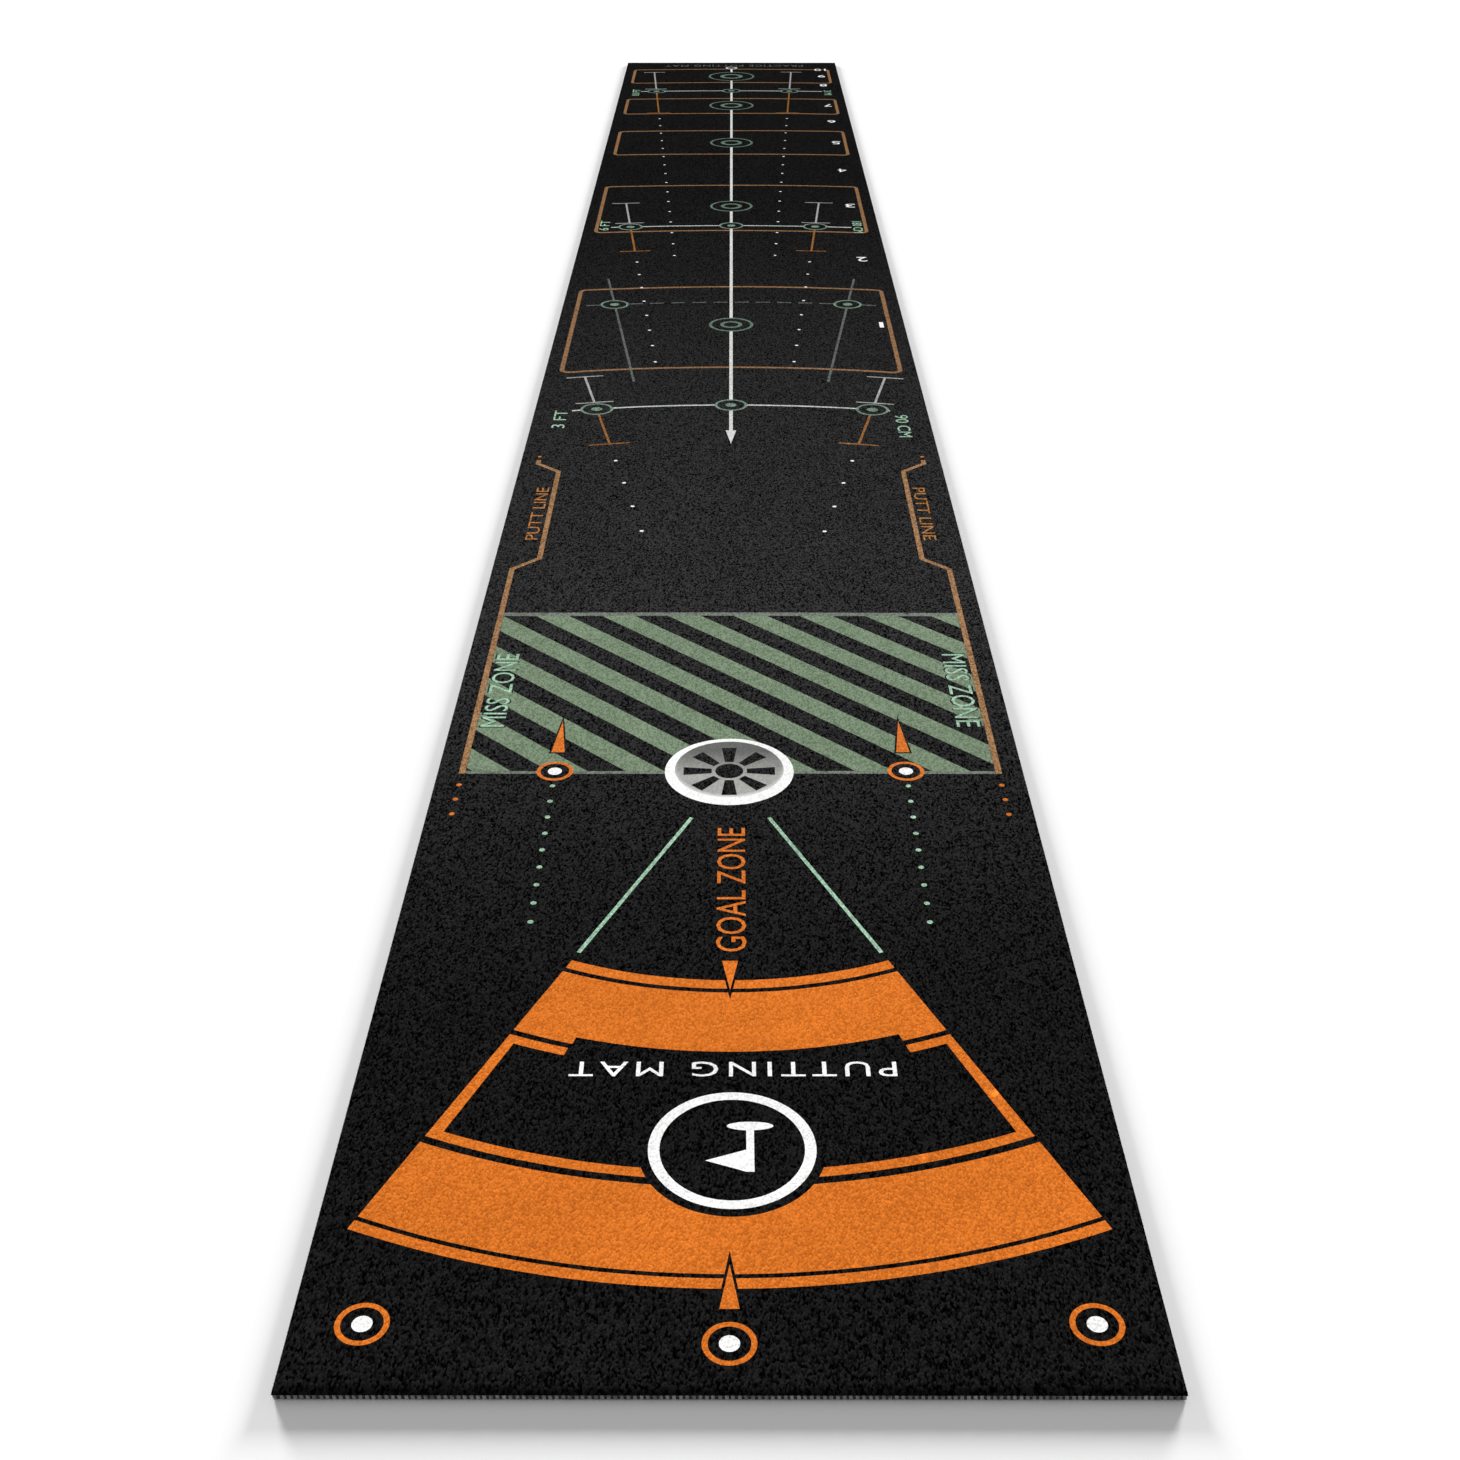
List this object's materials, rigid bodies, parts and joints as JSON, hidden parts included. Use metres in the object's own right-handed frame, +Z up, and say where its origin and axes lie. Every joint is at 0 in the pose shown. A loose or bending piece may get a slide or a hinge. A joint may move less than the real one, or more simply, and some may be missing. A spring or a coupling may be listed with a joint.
{
  "type": "practice putting mat",
  "caption": "Long flat roll-out putting mat: black cut-pile face with dyed target, short-putt zone, lanes and distance lines, rubber backing and overlocked edges.",
  "frame": {"origin": "middle of the underside, on the floor, halfway along the mat and halfway across it", "axes": "+Y along the mat from the goal end to the player's end, +X across it, +Z up through the pile"},
  "size_m": [0.5, 4, 0.006],
  "materials": {
    "black_pile": "cut pile, matt with a faint sheen",
    "orange_pile": "cut pile dyed orange",
    "white_pile": "cut pile left white",
    "mint_pile": "cut pile dyed mint green",
    "sage_pile": "cut pile dyed sage green",
    "grey_pile": "cut pile dyed grey",
    "edge_thread": "twisted textured polyester thread",
    "scrim": "woven tape yarn",
    "latex": "dried latex film, carbon black filled",
    "rubber": "matt, finely dimpled"
  },
  "bodies": {
    "root": {"goal_edge_lower_looper": "edge_thread", "goal_edge_needle_thread": "edge_thread", "goal_edge_upper_looper": "edge_thread", "green_aim_lines": "mint_pile", "green_distance_marks": "mint_pile", "green_fan_marks": "mint_pile", "green_fan_rays": "mint_pile", "green_goal_dots": "mint_pile", "green_lane_marks": "mint_pile", "green_short_stripes": "sage_pile", "grey_fan_dashes": "grey_pile", "grey_short_edges": "sage_pile", "grey_target_face": "grey_pile", "latex_coat": "latex", "left_edge_lower_looper": "edge_thread", "left_edge_needle_thread": "edge_thread", "left_edge_upper_looper": "edge_thread", "orange_ball_rings": "orange_pile", "orange_gates": "orange_pile", "orange_goal_bands": "orange_pile", "orange_goal_lines": "orange_pile", "orange_lane_boxes": "orange_pile", "orange_pointers": "orange_pile", "orange_side_dots": "orange_pile", "orange_side_lines": "orange_pile", "pile_face": "black_pile", "player_edge_lower_looper": "edge_thread", "player_edge_needle_thread": "edge_thread", "player_edge_upper_looper": "edge_thread", "primary_scrim": "scrim", "right_edge_lower_looper": "edge_thread", "right_edge_needle_thread": "edge_thread", "right_edge_upper_looper": "edge_thread", "rubber_backing": "rubber", "white_ball_spots": "white_pile", "white_centre_arrow": "white_pile", "white_distance_lines": "white_pile", "white_gates": "white_pile", "white_putt_dots": "white_pile", "white_roundel_flag": "white_pile", "white_roundel_ring": "white_pile", "white_target_rim": "white_pile"}
  },
  "joints": []
}
